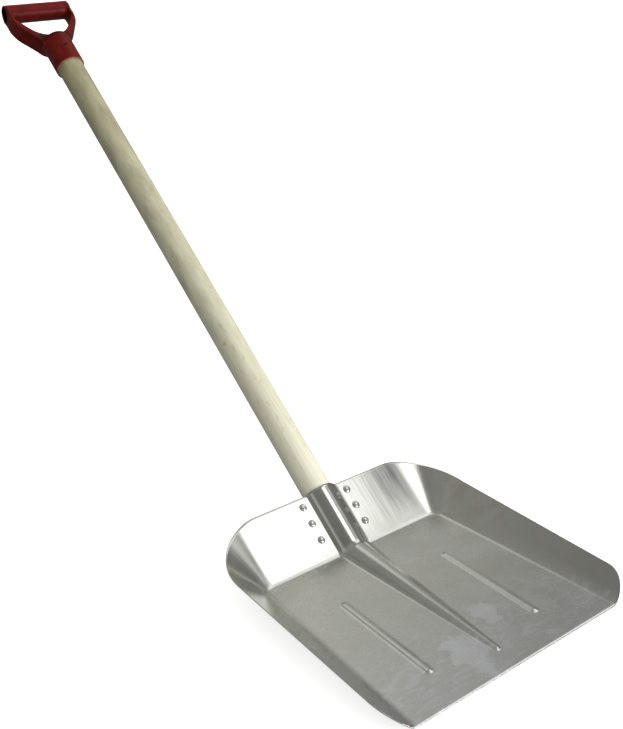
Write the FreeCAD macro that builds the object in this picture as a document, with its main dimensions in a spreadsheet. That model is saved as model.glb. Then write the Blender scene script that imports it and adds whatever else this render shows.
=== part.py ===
"""Snow shovel: pressed aluminium blade, riveted rear socket plate, wooden shaft and plastic D-grip.

Frame: origin on the underside of the blade's floor, at the middle of the cutting edge. +Y runs back towards
the handle, +Z up, +X to the right. Millimetres.
"""

import FreeCAD
import Part
import Sketcher
import math
import os

DIMENSIONS = {
    # blade sheet and the outline it is trimmed to
    "sheet_thickness": 1.5,
    "blade_width": 354.0,
    "blade_depth": 348.0,
    "rear_corner_radius": 76.0,
    "front_corner_radius": 34.0,
    # creases between the floor and the walls, on the upper face
    "crease_front_half": 149.2,
    "crease_rear_half": 135.6,
    "crease_depth": 280.5,
    "crease_corner_radius": 12.0,
    "wall_angle": 40.0,
    "bend_radius": 12.0,
    "wall_blank": 98.0,
    # centre rib and the two beads; the pressing sits slightly askew to the outline
    "rib_tip_depth": 33.0,
    "rib_tip_half_width": 4.7,
    "rib_tip_height": 2.1,
    "rib_height": 12.5,
    "pressing_skew": 5.3,
    "bead_side": 78.4,
    "bead_front": 53.0,
    "bead_rear": 197.0,
    "bead_half_width": 7.0,
    "bead_height": 1.5,
    "bead_crown_share": 0.5,
    # wooden shaft and the socket around it
    "shaft_radius": 20.0,
    "shaft_drop": 9.3,
    "shaft_start": 8.0,
    "shaft_end": 925.0,
    "shaft_chamfer": 2.0,
    "socket_clearance": 0.3,
    "socket_top": 89.5,
    "bulge_foot_radius": 9.0,
    "ground_clearance": 2.0,
    # rear socket plate
    "plate_half_width": 45.0,
    "plate_start": 14.0,
    "plate_end": 85.0,
    "plate_foot_radius": 4.0,
    "plate_corner_radius": 7.0,
    # rivets
    "rivet_side": 34.8,
    "rivet_first": 28.1,
    "rivet_pitch": 23.5,
    "rivet_shank_radius": 2.5,
    "rivet_head_radius": 5.2,
    "rivet_head_height": 2.7,
    "rivet_tail_radius": 4.4,
    "rivet_tail_height": 1.8,
    "hole_play": 0.05,
    # screws
    "screw_radius": 2.2,
    "screw_length": 20.0,
    "screw_point": 4.0,
    "screw_head_radius": 4.2,
    "screw_head_height": 2.4,
    "screw_slot_width": 1.2,
    "screw_slot_depth": 1.1,
    "shaft_screw_first": 48.0,
    "shaft_screw_pitch": 26.0,
    "grip_screw_radius": 1.5,
    "grip_screw_length": 15.0,
    "grip_screw_head_radius": 2.8,
    "grip_screw_head_height": 1.4,
    "grip_screw_slot_width": 0.8,
    "grip_screw_slot_depth": 0.6,
    "grip_screw_sink": 0.3,
    "grip_screw_at": 900.0,
    # grip: a socket on the shaft's end and a D that carries the crossbar a little behind the shaft's axis
    "grip_mouth": 870.0,
    "grip_top": 929.5,
    "grip_socket_radius": 23.0,
    "grip_play": 0.2,
    "bar_at": 1005.5,
    "bar_radius": 14.2,
    "bar_bore": 11.2,
    "bar_half": 52.6,
    "bar_behind": 6.0,
    "arm_thickness": 5.1,
    "arm_shoulder_at": 985.0,
    "arm_shoulder_radius": 55.0,
    "arm_lean": 35.0,
    "arm_root_radius": 30.0,
    "palm_bottom": 939.5,
    "palm_radius": 37.8,
    "palm_lean": 33.0,
    "palm_corner_radius": 18.0,
}


def vector(x, y, z=0.0):
    return FreeCAD.Vector(x, y, z)


def rotation(axis, degrees):
    return FreeCAD.Rotation(vector(*axis), degrees)


def line(start, end):
    return Part.LineSegment(vector(*start), vector(*end))


def arc(start, middle, end):
    return Part.Arc(vector(*start), vector(*middle), vector(*end))


def arc_about(centre, radius, start, end):
    """An arc about a centre between two angles in degrees."""
    at = [
        (centre[0] + radius * math.cos(math.radians(a)), centre[1] + radius * math.sin(math.radians(a)))
        for a in (start, (start + end) / 2, end)
    ]
    return arc(*at)


def open_polygon(*points):
    """Straight lines from each point to the next."""
    return [line(p, q) for p, q in zip(points, points[1:])]


def polygon(*points):
    """The straight sides of a closed outline."""
    return open_polygon(*points, points[0])


def write_sheet(doc):
    sheet = doc.addObject("Spreadsheet::Sheet", "dims")
    for row, (name, value) in enumerate(DIMENSIONS.items(), start=1):
        sheet.set(f"A{row}", name)
        sheet.set(f"B{row}", str(value))
        sheet.setAlias(f"B{row}", name)
    doc.recompute()
    return sheet


class Dimensions:
    """The sheet's cells as attributes, with the few sizes worked out from them."""

    def __init__(self, sheet):
        for name in DIMENSIONS:
            setattr(self, name, float(sheet.get(name)))
        self.slope = math.radians(self.wall_angle)
        self.setback = self.bend_radius * math.tan(self.slope / 2)
        self.taper = (self.crease_front_half - self.crease_rear_half) / self.crease_depth
        self.tube_outer = self.shaft_radius + self.socket_clearance + self.sheet_thickness
        self.rivet_hole = self.rivet_shank_radius + self.hole_play


class Ridge:
    """A rounded ridge pressed into sheet: a crown arc that runs into a foot arc on each side."""

    def __init__(self, half_width, height, crown_share):
        self.half_width = half_width
        self.height = height
        self.crown_share = crown_share
        reach = (half_width**2 + height**2) / (2 * height)
        self.crown = reach * crown_share
        self.foot = reach - self.crown
        self.angle = math.degrees(2 * math.atan(height / half_width))

    @classmethod
    def of_radii(cls, crown, foot, height):
        reach = crown + foot
        return cls(math.sqrt(reach**2 - (reach - height) ** 2), height, crown / reach)

    def grown(self, start, share):
        """The ridge at a share of the way from another ridge, start, to this one."""
        width = start.half_width + (self.half_width - start.half_width) * share
        height = start.height + (self.height - start.height) * share
        return Ridge(width, height, self.crown_share)

    def face(self, base, inset):
        """The arcs of one face from the left foot to the right; base is the flat sheet's height."""
        centre_height = base + inset + self.foot
        crown_centre = (0.0, base + inset + self.height - self.crown)
        left = arc_about((-self.half_width, centre_height), self.foot + inset, 270, 270 + self.angle)
        crown = arc_about(crown_centre, self.crown - inset, 90 + self.angle, 90 - self.angle)
        right = arc_about((self.half_width, centre_height), self.foot + inset, 270 - self.angle, 270)
        return [left, crown, right]

    def right_half_face(self, base, inset):
        crown_centre = (0.0, base + inset + self.height - self.crown)
        crown = arc_about(crown_centre, self.crown - inset, 90, 90 - self.angle)
        return [crown, self.face(base, inset)[-1]]


def wall_point(d, x, along, out):
    """A point given by its place along the back wall from the crease and its height off the visible face."""
    cos, sin = math.cos(d.slope), math.sin(d.slope)
    return vector(x, d.crease_depth + along * cos - out * sin, d.sheet_thickness + along * sin + out * cos)


def shaft_placement(d, x=0.0, behind=0.0, along=0.0):
    """Local Z runs up the shaft's axis and local Y points behind it."""
    base = wall_point(d, x, along, -d.shaft_drop - behind)
    return FreeCAD.Placement(base, rotation((1, 0, 0), d.wall_angle - 90))


def new_body(doc, label, placement=None):
    body = doc.addObject("PartDesign::Body", label)
    body.Label = label
    if placement is not None:
        body.Placement = placement
    return body


def moved(x=0.0, y=0.0, z=0.0, turn=None):
    return FreeCAD.Placement(vector(x, y, z), turn or FreeCAD.Rotation())


def add_sketch(body, role, geometry, offset=None):
    sketch = body.newObject("Sketcher::SketchObject", "sketch")
    plane = next(f for f in body.Origin.OriginFeatures if f.Role == role)
    sketch.AttachmentSupport = [(plane, "")]
    sketch.MapMode = "FlatFace"
    if offset is not None:
        sketch.AttachmentOffset = offset
    sketch.addGeometry(geometry, False)
    return sketch


def add_circle(body, role, radius, offset=None):
    """A circle about the sketch's origin whose radius follows an expression of the sheet."""
    sketch = add_sketch(body, role, [Part.Circle(vector(0, 0), vector(0, 0, 1), 1.0)], offset)
    sketch.addConstraint(Sketcher.Constraint("Radius", 0, 1.0))
    sketch.setExpression("Constraints[0]", radius)
    return sketch


def add_feature(body, kind, profile, expressions=None, **settings):
    """A feature made from a sketch; the expressions bind its sizes to the sheet."""
    feature = body.newObject("PartDesign::" + kind, kind.lower())
    feature.Profile = profile
    for name, value in settings.items():
        setattr(feature, name, value)
    for name, expression in (expressions or {}).items():
        feature.setExpression(name, expression)
    return feature


def revolve(body, kind, sketch):
    return add_feature(body, kind, sketch, ReferenceAxis=(sketch, ["V_Axis"]), Angle=360.0)


def cut_through(body, sketch, length):
    """A pocket that cuts to both sides of its sketch."""
    return add_feature(body, "Pocket", sketch, {"Length": length}, Midplane=True)


def round_edges(body, base, radius, chosen):
    """Rounds the edges of a feature that the test picks out."""
    body.Document.recompute()
    names = [f"Edge{i}" for i, edge in enumerate(base.Shape.Edges, start=1) if chosen(edge)]
    fillet = body.newObject("PartDesign::Fillet", "fillet")
    fillet.Base = (base, names)
    fillet.setExpression("Radius", radius)
    return fillet


# Blade


def solid_section(ridge, thickness):
    """What a ridge adds above the sheet's underside, which is at height 0."""
    half = ridge.half_width
    corners = [(half, thickness), (half, 0), (-half, 0), (-half, thickness)]
    return ridge.face(thickness, 0.0) + open_polygon(*corners)


def hollow_section(ridge, thickness):
    """What a ridge leaves open under the sheet, and as far again below it."""
    half, low = ridge.half_width, -ridge.half_width
    return ridge.face(0.0, thickness) + open_polygon((half, 0), (half, low), (-half, low), (-half, 0))


def solid_half_section(ridge, thickness):
    top = thickness + ridge.height
    half = ridge.half_width
    corners = [(half, thickness), (half, 0), (0, 0), (0, top)]
    return ridge.right_half_face(thickness, 0.0) + open_polygon(*corners)


def hollow_half_section(ridge, thickness):
    half, low = ridge.half_width, -ridge.half_width
    corners = [(half, 0), (half, low), (0, low), (0, ridge.height)]
    return ridge.right_half_face(0.0, thickness) + open_polygon(*corners)


def floor_edge(d):
    """The flat floor's edge, from the front right round the back to the front left, past the cutting edge."""
    lean = math.atan(d.taper)
    radius = d.crease_corner_radius - d.setback
    front, rear = -d.front_corner_radius / 2, d.crease_depth - d.setback

    def side(y):
        return d.crease_front_half - d.setback / math.cos(lean) - d.taper * y

    centre = (side(rear - radius) - radius / math.cos(lean), rear - radius)
    corner = (centre[0] + radius * math.cos(lean), centre[1] + radius * math.sin(lean))
    start_angle = math.degrees(lean)
    return [
        line((side(front), front), corner),
        arc_about(centre, radius, start_angle, 90),
        line((centre[0], rear), (-centre[0], rear)),
        arc_about((-centre[0], centre[1]), radius, 90, 180 - start_angle),
        line((-corner[0], corner[1]), (-side(front), front)),
    ]


def wall_section(d):
    """The bend and the straight wall, with the origin where the bend leaves the floor's underside."""
    outer = d.bend_radius + d.sheet_thickness
    cos, sin = math.cos(d.slope), math.sin(d.slope)
    inner_end = (d.bend_radius * sin, outer - d.bend_radius * cos)
    outer_end = (outer * sin, outer - outer * cos)
    inner_rim = (inner_end[0] + d.wall_blank * cos, inner_end[1] + d.wall_blank * sin)
    outer_rim = (outer_end[0] + d.wall_blank * cos, outer_end[1] + d.wall_blank * sin)
    return [
        line((0.0, d.sheet_thickness), (0.0, 0.0)),
        arc_about((0.0, outer), outer, -90, -90 + d.wall_angle),
        line(outer_end, outer_rim),
        line(outer_rim, inner_rim),
        line(inner_rim, inner_end),
        arc_about((0.0, outer), d.bend_radius, -90 + d.wall_angle, -90),
    ]


def fold_pan(body, d):
    """The floor and the wall that is folded up along its back and both sides."""
    edge = floor_edge(d)
    start, end = edge[0].StartPoint, edge[-1].EndPoint
    floor = add_sketch(body, "XY_Plane", edge + [Part.LineSegment(end, start)])
    add_feature(body, "Pad", floor, {"Length": "dims.sheet_thickness"})
    path = add_sketch(body, "XY_Plane", edge)
    square_to_path = upright(start.x, start.y, math.degrees(math.atan(d.taper)))
    section = add_sketch(body, "XZ_Plane", wall_section(d), square_to_path)
    add_feature(body, "AdditivePipe", section, Spine=(path, []))


def pressing_shift(d, y):
    """Sideways place of the pressing's centre line, which is on the blade's only at the crease."""
    return -d.pressing_skew * (d.crease_depth - y) / (d.crease_depth - d.rib_tip_depth)


def upright(x, y, turn=0.0):
    """Attachment offset that stands an XZ sketch at (x, y), turned about the vertical."""
    return moved(x, 0, -y, rotation((0, 1, 0), turn))


def press_dome(body, d, at, ridge, hollow):
    """The round end of a ridge."""
    section = hollow_half_section if hollow else solid_half_section
    sketch = add_sketch(body, "XZ_Plane", section(ridge, d.sheet_thickness), upright(*at))
    revolve(body, "Groove" if hollow else "Revolution", sketch)


def press_centre_rib(body, d, hollow):
    """The rib that narrows and falls from the socket to a round tip near the cutting edge."""
    socket = Ridge.of_radii(d.tube_outer, d.bulge_foot_radius, d.rib_height)
    tip = Ridge(d.rib_tip_half_width, d.rib_tip_height, socket.crown_share)
    length = d.crease_depth - d.rib_tip_depth
    lap = d.setback if hollow else 0.0
    end = socket.grown(tip, (length + lap) / length)
    section = hollow_section if hollow else solid_section
    sketches = [
        add_sketch(body, "XZ_Plane", section(ridge, d.sheet_thickness), upright(pressing_shift(d, y), y))
        for ridge, y in ((tip, d.rib_tip_depth), (end, d.crease_depth + lap))
    ]
    kind = "SubtractiveLoft" if hollow else "AdditiveLoft"
    add_feature(body, kind, sketches[0], Sections=[sketches[1]], Ruled=True)
    press_dome(body, d, (pressing_shift(d, d.rib_tip_depth), d.rib_tip_depth), tip, hollow)


def press_bead(body, d, side, hollow):
    """A straight bead with round ends, parallel to the centre rib."""
    bead = Ridge(d.bead_half_width, d.bead_height, d.bead_crown_share)
    ends = [(side * d.bead_side + pressing_shift(d, y), y) for y in (d.bead_front, d.bead_rear)]
    turn = math.degrees(math.atan2(d.pressing_skew, d.crease_depth - d.rib_tip_depth))
    section = hollow_section if hollow else solid_section
    sketch = add_sketch(body, "XZ_Plane", section(bead, d.sheet_thickness), upright(*ends[0], -turn))
    kind = "Pocket" if hollow else "Pad"
    add_feature(body, kind, sketch, Length=math.dist(*ends), Reversed=not hollow)
    for at in ends:
        press_dome(body, d, at, bead, hollow)


def press_socket(body, d, hollow):
    """The half-tube up the back wall that the shaft lies in."""
    socket = Ridge.of_radii(d.tube_outer, d.bulge_foot_radius, d.rib_height)
    lap = d.setback if hollow else 0.0
    foot = wall_point(d, 0, -lap, -d.sheet_thickness)
    square_to_wall = moved(0, foot.z, -foot.y, rotation((1, 0, 0), d.wall_angle))
    section = hollow_section if hollow else solid_section
    sketch = add_sketch(body, "XZ_Plane", section(socket, d.sheet_thickness), square_to_wall)
    kind, length = ("Pocket", d.wall_blank + lap) if hollow else ("Pad", d.socket_top)
    add_feature(body, kind, sketch, Length=length, Reversed=not hollow)


def blade_outline(d):
    """The trimmed sheet's edge seen from above: straight sides with rounded corners."""
    half, depth = d.blade_width / 2, d.blade_depth
    rear, front = d.rear_corner_radius, d.front_corner_radius
    return [
        line((-half + front, 0), (half - front, 0)),
        arc_about((half - front, front), front, -90, 0),
        line((half, front), (half, depth - rear)),
        arc_about((half - rear, depth - rear), rear, 0, 90),
        line((half - rear, depth), (-half + rear, depth)),
        arc_about((-half + rear, depth - rear), rear, 90, 180),
        line((-half, depth - rear), (-half, front)),
        arc_about((-half + front, front), front, 180, 270),
    ]


def trim_pan(body, d):
    margin = d.wall_blank
    half, depth = d.blade_width / 2 + margin, d.blade_depth + margin
    around = polygon((-half, -margin), (half, -margin), (half, depth), (-half, depth))
    sketch = add_sketch(body, "XY_Plane", around + blade_outline(d))
    cut_through(body, sketch, "3 * dims.wall_blank")


def rivet_places(d):
    """Each rivet's place across and up the back wall: the left column, then the right, from the bottom."""
    rows = [d.rivet_first + row * d.rivet_pitch for row in range(3)]
    return [(side * d.rivet_side, along) for side in (-1, 1) for along in rows]


def drill_rivet_holes(body, d, role, offset, length):
    """The sketch's x runs across the wall and its y up the wall from the crease."""
    holes = [Part.Circle(vector(*place), vector(0, 0, 1), d.rivet_hole) for place in rivet_places(d)]
    cut_through(body, add_sketch(body, role, holes, offset), length)


def make_blade(doc, d):
    body = new_body(doc, "blade")
    fold_pan(body, d)
    for hollow in (False, True):
        press_socket(body, d, hollow)
        press_centre_rib(body, d, hollow)
        for side in (-1, 1):
            press_bead(body, d, side, hollow)
    trim_pan(body, d)
    on_wall = FreeCAD.Placement(wall_point(d, 0, 0, 0), rotation((1, 0, 0), d.wall_angle))
    drill_rivet_holes(body, d, "XY_Plane", on_wall, "8 * dims.sheet_thickness")
    return [body]


# Rear socket plate


def plate_section(d):
    """A half-tube behind the shaft with a flange on each side that lies on the wall."""
    edge, thickness = d.plate_half_width, d.sheet_thickness
    tube = Ridge.of_radii(d.tube_outer, d.plate_foot_radius, d.tube_outer + d.shaft_drop - 2 * thickness)
    section = tube.face(thickness, 0.0) + tube.face(0.0, thickness)
    for side in (-1, 1):
        foot, tip = side * tube.half_width, side * edge
        section += open_polygon((foot, 0.0), (tip, 0.0), (tip, thickness), (foot, thickness))
    return section


def cut_level(body, d, reach):
    """Cuts a piece on the shaft's axis level with the ground, a little above it."""
    base = shaft_placement(d).Base
    cos, sin = math.cos(d.slope), math.sin(d.slope)

    def level(behind):
        return (d.ground_clearance - base.z + behind * cos) / sin

    low = level(-reach)
    waste = polygon((-reach, low), (reach, low), (reach, level(reach)))
    cut_through(body, add_sketch(body, "YZ_Plane", waste), "4 * dims.plate_half_width")


def is_flange_corner(d, edge):
    box = edge.BoundBox
    at_side = min(abs(box.XMin + d.plate_half_width), abs(box.XMax - d.plate_half_width)) < d.hole_play
    return at_side and box.XLength < d.hole_play and box.ZLength < d.hole_play


def make_rear_socket_plate(doc, d):
    body = new_body(doc, "rear_socket_plate", shaft_placement(d))
    wall_face = d.sheet_thickness - d.shaft_drop
    sketch = add_sketch(body, "XY_Plane", plate_section(d), moved(0, wall_face, d.plate_start))
    pad = add_feature(body, "Pad", sketch, {"Length": "dims.plate_end - dims.plate_start"})
    round_edges(body, pad, "dims.plate_corner_radius", lambda edge: is_flange_corner(d, edge))
    cut_level(body, d, 2 * d.tube_outer)
    drill_rivet_holes(body, d, "XZ_Plane", moved(0, 0, d.shaft_drop), "8 * dims.sheet_thickness")
    for along in shaft_screw_places(d):
        screw_hole(body, d, "screw", along)
    return [body]


# Rivets and screws


def cap(radius, rise, base=0.0):
    """Half of a spherical cap that stands on a height, or hangs from it if the rise is negative."""
    sphere = (radius**2 + rise**2) / (2 * rise)
    half_angle = math.asin(radius / abs(sphere)) / 2
    middle = (abs(sphere) * math.sin(half_angle), base + rise - sphere + sphere * math.cos(half_angle))
    return arc((0, base + rise), middle, (radius, base))


def make_rivets(doc, d):
    """Domed heads on the wall's upper face and flatter formed tails behind the rear plate's flange."""
    grip = 2 * d.sheet_thickness
    head, tail, shank = d.rivet_head_radius, d.rivet_tail_radius, d.rivet_shank_radius
    head_rise, tail_rise = d.rivet_head_height, d.rivet_tail_height
    profile = [
        cap(head, head_rise),
        line((head, 0), (shank, 0)),
        line((shank, 0), (shank, -grip)),
        line((shank, -grip), (tail, -grip)),
        cap(tail, -tail_rise, -grip),
        line((0, -grip - tail_rise), (0, head_rise)),
    ]
    bodies = []
    for index, (across, along) in enumerate(rivet_places(d)):
        label = f"rivet_{('left', 'right')[index // 3]}_{index % 3 + 1}"
        place = FreeCAD.Placement(wall_point(d, across, along, 0), rotation((1, 0, 0), d.wall_angle))
        body = new_body(doc, label, place)
        revolve(body, "Revolution", add_sketch(body, "XZ_Plane", profile))
        bodies.append(body)
    return bodies


def shaft_screw_places(d):
    return [d.shaft_screw_first + row * d.shaft_screw_pitch for row in range(2)]


def screw_size(d, kind):
    """A kind of screw's own cells of the sheet: its radius, length, head and slot."""
    names = ("radius", "length", "head_radius", "head_height", "slot_width", "slot_depth")
    return {name: getattr(d, f"{kind}_{name}") for name in names}


def make_screw(doc, d, kind, label, placement):
    """A slotted round-head wood screw; the head stands on local Z = 0 and the point is below it."""
    body = new_body(doc, label, placement)
    size = screw_size(d, kind)
    head, shank, length, height = size["head_radius"], size["radius"], size["length"], size["head_height"]
    profile = [
        cap(head, height),
        line((head, 0), (shank, 0)),
        line((shank, 0), (shank, d.screw_point - length)),
        line((shank, d.screw_point - length), (0, -length)),
        line((0, -length), (0, height)),
    ]
    revolve(body, "Revolution", add_sketch(body, "XZ_Plane", profile))
    half, floor, top = size["slot_width"] / 2, height - size["slot_depth"], 2 * height
    slot = add_sketch(body, "XZ_Plane", polygon((-half, floor), (half, floor), (half, top), (-half, top)))
    cut_through(body, slot, f"3 * dims.{kind}_head_radius")
    return body


def make_shaft_screws(doc, d):
    bodies = []
    for index, along in enumerate(shaft_screw_places(d), start=1):
        seat = shaft_placement(d, behind=d.tube_outer, along=along)
        seat.Rotation = seat.Rotation * rotation((1, 0, 0), -90)
        bodies.append(make_screw(doc, d, "screw", f"shaft_screw_{index}", seat))
    return bodies


def make_grip_screw(doc, d):
    seat = shaft_placement(d, behind=grip_screw_seat(d), along=d.grip_screw_at)
    seat.Rotation = seat.Rotation * rotation((1, 0, 0), 90)
    return [make_screw(doc, d, "grip_screw", "grip_screw", seat)]


def screw_hole(body, d, kind, along, in_front=False):
    """A screw's clearance hole from the shaft's axis outward, behind the axis or in front of it."""
    radius = f"dims.{kind}_radius + dims.hole_play"
    hole = add_circle(body, "XZ_Plane", radius, moved(0, along))
    add_feature(body, "Pocket", hole, {"Length": "2 * dims.shaft_radius"}, Reversed=in_front)


def grip_screw_seat(d):
    """How far behind the shaft's axis the grip screw's head stands: negative, because it is in front."""
    return d.grip_screw_sink + d.grip_screw_head_height - d.grip_socket_radius


# Shaft


def make_shaft(doc, d):
    body = new_body(doc, "shaft", shaft_placement(d))
    circle = add_circle(body, "XY_Plane", "dims.shaft_radius", moved(z=d.shaft_start))
    pad = add_feature(body, "Pad", circle, {"Length": "dims.shaft_end - dims.shaft_start"})
    round_edges(body, pad, "dims.shaft_chamfer", lambda edge: edge.BoundBox.ZMin > d.shaft_end - d.hole_play)
    cut_level(body, d, 2 * d.tube_outer)
    for along in shaft_screw_places(d):
        screw_hole(body, d, "screw", along)
    screw_hole(body, d, "grip_screw", d.grip_screw_at, in_front=True)
    return [body]


# Grip


def arm_outline(d):
    """The D's outer edge on its right side, from the bar down to the socket: (x, along) points and arcs."""
    lean = math.radians(d.arm_lean)
    cos, sin = math.cos(lean), math.sin(lean)
    shoulder, root = d.arm_shoulder_radius, d.arm_root_radius
    shoulder_centre = (d.bar_half - shoulder, d.arm_shoulder_at)
    shoulder_end = (shoulder_centre[0] + shoulder * cos, shoulder_centre[1] - shoulder * sin)
    root_start_x = d.grip_socket_radius + root * (1 - cos)
    root_start = (root_start_x, shoulder_end[1] - (shoulder_end[0] - root_start_x) * cos / sin)
    root_centre = (d.grip_socket_radius + root, root_start[1] - root * sin)
    return [
        line((d.bar_half, d.bar_at), (d.bar_half, d.arm_shoulder_at)),
        arc_about(shoulder_centre, shoulder, 0, -d.arm_lean),
        line(shoulder_end, root_start),
        arc_about(root_centre, root, 180 - d.arm_lean, 180),
    ]


def palm_outline(d):
    """The opening's edge on its right side, from the bar down to the middle of the palm."""
    lean = math.radians(d.palm_lean)
    cos, sin = math.cos(lean), math.sin(lean)
    inner = d.bar_half - d.arm_thickness
    corner, palm = d.palm_corner_radius, d.palm_radius
    palm_centre = (0.0, d.palm_bottom + palm)
    palm_start = (palm * cos, palm_centre[1] - palm * sin)
    corner_end_x = inner - corner * (1 - cos)
    corner_end = (corner_end_x, palm_start[1] + (corner_end_x - palm_start[0]) * cos / sin)
    corner_centre = (inner - corner, corner_end[1] + corner * sin)
    return [
        line((inner, d.bar_at), (inner, corner_centre[1])),
        arc_about(corner_centre, corner, 0, -d.palm_lean),
        line(corner_end, palm_start),
        arc_about(palm_centre, palm, -d.palm_lean, -90),
    ]


def mirrored(curves):
    """The same curves on the other side of the sketch's vertical axis."""
    mirror = FreeCAD.Matrix(-1, 0, 0, 0, 0, 1, 0, 0, 0, 0, 1, 0)
    copies = []
    for curve in curves:
        ends = (curve.StartPoint, curve.EndPoint)
        if isinstance(curve, Part.LineSegment):
            copies.append(Part.LineSegment(*[mirror.multVec(p) for p in ends]))
        else:
            middle = curve.value((curve.FirstParameter + curve.LastParameter) / 2)
            copies.append(Part.Arc(*[mirror.multVec(p) for p in (ends[0], middle, ends[1])]))
    return copies


def band_outline(d):
    """The D without its bar as a closed outline, and the right end of its root."""
    arms, palm = arm_outline(d), palm_outline(d)
    root = min(arms[-1].StartPoint, arms[-1].EndPoint, key=lambda point: point.y)
    inner = d.bar_half - d.arm_thickness
    ends = [line((side * inner, d.bar_at), (side * d.bar_half, d.bar_at)) for side in (-1, 1)]
    foot = line((-root.x, root.y), (root.x, root.y))
    return arms + mirrored(arms) + palm + mirrored(palm) + ends + [foot], root


def add_band(body, d):
    """The D's band, as deep as the bar is thick, whose root flares out of the socket at 45 degrees."""
    outline, root = band_outline(d)
    band = add_sketch(body, "XZ_Plane", outline, moved(0, 0, -d.bar_behind))
    add_feature(body, "Pad", band, {"Length": "2 * dims.bar_radius"}, Midplane=True)
    reach, low = d.bar_half, root.y - d.arm_thickness
    waste = polygon((root.x, low), (root.x + reach, low), (root.x + reach, root.y + reach), (root.x, root.y))
    revolve(body, "Groove", add_sketch(body, "XZ_Plane", waste))


def make_grip(doc, d):
    body = new_body(doc, "grip", shaft_placement(d))
    add_band(body, d)
    socket = add_circle(body, "XY_Plane", "dims.grip_socket_radius", moved(z=d.grip_mouth))
    add_feature(body, "Pad", socket, {"Length": "dims.grip_top - dims.grip_mouth"})
    at_bar = moved(d.bar_behind, d.bar_at)
    bar = add_circle(body, "YZ_Plane", "dims.bar_radius", at_bar)
    add_feature(body, "Pad", bar, {"Length": "2 * dims.bar_half"}, Midplane=True)
    cut_through(body, add_circle(body, "YZ_Plane", "dims.bar_bore", at_bar), "3 * dims.bar_half")
    bore = add_circle(body, "XY_Plane", "dims.shaft_radius + dims.grip_play", moved(z=d.grip_mouth))
    depth = "dims.shaft_end + dims.grip_play - dims.grip_mouth"
    add_feature(body, "Pocket", bore, {"Length": depth}, Reversed=True)
    screw_hole(body, d, "grip_screw", d.grip_screw_at, in_front=True)
    radius = "dims.grip_screw_head_radius + dims.grip_play"
    recess = add_circle(body, "XZ_Plane", radius, moved(0, d.grip_screw_at, -grip_screw_seat(d)))
    add_feature(body, "Pocket", recess, {"Length": "dims.grip_socket_radius"}, Reversed=True)
    return [body]


def check(doc, bodies):
    for item in doc.Objects:
        if "Invalid" in item.State or "Error" in item.State:
            raise RuntimeError(f"{item.Name} failed: {item.getStatusString()}")
    for body in bodies:
        if body.Shape.isNull() or not body.Shape.isValid() or len(body.Shape.Solids) != 1:
            raise RuntimeError(f"{body.Label} is not one valid solid")


def main():
    doc = FreeCAD.newDocument("snow_shovel")
    d = Dimensions(write_sheet(doc))
    bodies = []
    for make in (make_blade, make_rear_socket_plate, make_rivets, make_shaft, make_shaft_screws):
        bodies += make(doc, d)
    for make in (make_grip, make_grip_screw):
        bodies += make(doc, d)
    doc.recompute()
    check(doc, bodies)
    os.makedirs("parts", exist_ok=True)
    for body in bodies:
        body.Shape.exportStep(f"parts/{body.Label}.step")
        print(f"{body.Label}: {body.Shape.Volume:.0f} mm3")


main()
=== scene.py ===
"""Snow shovel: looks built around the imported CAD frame.

Lengths of the shovel are millimetres here, and MM makes them metres. The stage and camera are in metres.
"""

import math

import bpy
import numpy as np
from mathutils import Matrix, Vector


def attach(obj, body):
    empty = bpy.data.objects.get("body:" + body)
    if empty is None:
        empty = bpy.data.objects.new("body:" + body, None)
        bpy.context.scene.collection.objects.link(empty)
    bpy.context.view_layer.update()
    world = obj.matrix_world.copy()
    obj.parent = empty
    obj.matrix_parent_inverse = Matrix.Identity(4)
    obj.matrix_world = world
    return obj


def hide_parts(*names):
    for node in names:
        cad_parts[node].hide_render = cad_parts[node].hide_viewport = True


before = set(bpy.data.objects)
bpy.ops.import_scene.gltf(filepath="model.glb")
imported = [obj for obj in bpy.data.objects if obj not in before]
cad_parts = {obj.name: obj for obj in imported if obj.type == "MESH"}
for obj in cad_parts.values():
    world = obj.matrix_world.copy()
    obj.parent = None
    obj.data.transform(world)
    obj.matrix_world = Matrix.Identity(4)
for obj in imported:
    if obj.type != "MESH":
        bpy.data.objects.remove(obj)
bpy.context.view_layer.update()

MM = 0.001

# Blade
THICKNESS = 1.5
HALF_WIDTH, DEPTH = 177.0, 348.0
REAR_CORNER, FRONT_CORNER = 76.0, 34.0
CREASE_FRONT_HALF, CREASE_REAR_HALF, CREASE_DEPTH = 149.2, 135.6, 280.5
CREASE_CORNER, BEND_RADIUS = 12.0, 12.0
SLOPE = math.radians(40.0)
RIB_TIP_DEPTH, RIB_TIP_HALF, RIB_TIP_HEIGHT = 33.0, 4.7, 2.1
RIB_HEIGHT, CROWN_RADIUS, FOOT_RADIUS = 12.5, 21.8, 9.0
RIB_GROWTH_LIMIT = 1.2
PRESSING_SKEW = 5.3
BEAD_SIDE, BEAD_FRONT, BEAD_REAR, BEAD_HALF, BEAD_HEIGHT = 78.4, 53.0, 197.0, 7.0, 1.5
BEAD_CROWN = 0.5
SOCKET_TOP = 89.5

# The blade's faces end EDGE inside its outline, and rings at these shares of the thickness round its cut edge
EDGE = 0.35
EDGE_RINGS = (0.25, 0.75)

# The blade's grid lines as (from, to, spacing), closer over the rib, the beads, their ends and the creases
COLUMNS = (
    (0, 27, 0.9), (27, 62, 3.5), (62, 96, 1.2), (96, 128, 3.2), (128, HALF_WIDTH - FRONT_CORNER, 1.2),
)
ROWS = (
    (0, 22, 2.8), (22, 62, 1.0), (62, 188, 2.8), (188, 206, 1.0), (206, 262, 2.8), (262, 292, 1.2),
    (292, DEPTH, 2.2),
)
FRONT_CORNER_STEPS = 24

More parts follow.
